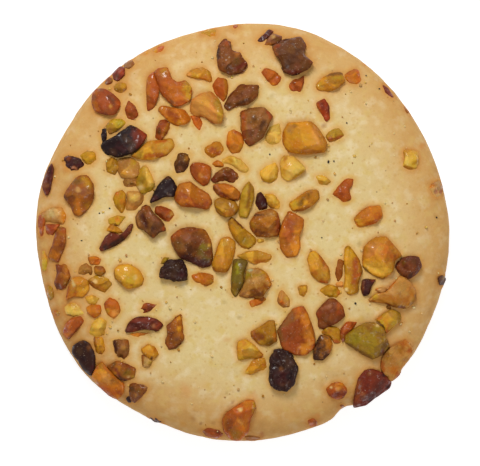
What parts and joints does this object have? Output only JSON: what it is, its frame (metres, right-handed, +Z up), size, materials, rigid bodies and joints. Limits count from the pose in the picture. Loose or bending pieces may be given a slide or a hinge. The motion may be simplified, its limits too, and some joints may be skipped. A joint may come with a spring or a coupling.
{
  "type": "round rusk biscuit with nut and raisin topping",
  "caption": "Round, flat, dry-baked biscuit with a rolled rim and flat underside, its top studded with chopped nuts and raisins.",
  "frame": {"origin": "on the flat underside, at the middle of the round biscuit", "axes": "+Z up out of the topped face, +X to the right and +Y to the far side when the top is seen upright"},
  "size_m": [0.0697, 0.0704, 0.013],
  "materials": {
    "dough": "dry-baked dough, pale cream in the middle and tan at the rim, matte with a fine crumb",
    "almond_amber": "roasted almond, amber, lightly glazed",
    "almond_rust": "roasted almond with rust-brown skin, lightly glazed",
    "cashew_gold": "roasted cashew, golden, satin",
    "cashew_straw": "pale cashew, straw yellow, satin",
    "pistachio_green": "green-brown pistachio, lightly glazed",
    "pistachio_olive": "olive-gold pistachio, lightly glazed",
    "raisin_black": "dried grape, near-black purple, shiny and wrinkled",
    "skin_maroon": "nut with its maroon skin on, lightly glazed",
    "walnut_brown": "walnut, dark brown, lightly glazed"
  },
  "bodies": {
    "root": {"biscuit": "dough", "almond_01": "almond_rust", "walnut_01": "walnut_brown", "cashew_01": "cashew_gold", "almond_02": "almond_amber", "pistachio_01": "walnut_brown", "pistachio_02": "pistachio_olive", "almond_03": "skin_maroon", "almond_04": "almond_amber", "cashew_02": "cashew_gold", "raisin_01": "raisin_black", "walnut_02": "walnut_brown", "raisin_02": "raisin_black", "almond_05": "almond_amber", "cashew_03": "cashew_gold", "walnut_03": "walnut_brown", "almond_06": "almond_rust", "almond_07": "almond_amber", "almond_08": "almond_amber", "almond_09": "almond_amber", "raisin_03": "raisin_black", "pistachio_03": "pistachio_olive", "almond_10": "almond_amber", "walnut_04": "walnut_brown", "walnut_05": "walnut_brown", "almond_11": "almond_rust", "raisin_04": "raisin_black", "walnut_06": "walnut_brown", "cashew_04": "cashew_gold", "almond_12": "almond_amber", "cashew_05": "cashew_gold", "almond_13": "almond_rust", "walnut_07": "walnut_brown", "almond_14": "skin_maroon", "cashew_06": "cashew_straw", "raisin_05": "raisin_black", "cashew_07": "cashew_straw", "pistachio_04": "pistachio_olive", "almond_15": "almond_amber", "walnut_08": "walnut_brown", "pistachio_05": "pistachio_olive", "almond_16": "almond_amber", "pistachio_06": "pistachio_green", "almond_17": "almond_amber", "almond_18": "skin_maroon", "pistachio_07": "pistachio_olive", "almond_19": "almond_rust", "pistachio_08": "pistachio_olive", "pistachio_09": "pistachio_green", "almond_20": "almond_rust", "cashew_08": "cashew_straw", "cashew_09": "cashew_gold", "pistachio_10": "pistachio_olive", "pistachio_11": "pistachio_olive", "almond_21": "almond_amber", "almond_22": "skin_maroon", "almond_23": "almond_rust", "almond_24": "almond_rust", "pistachio_12": "pistachio_green", "cashew_10": "cashew_straw"}
  },
  "joints": []
}
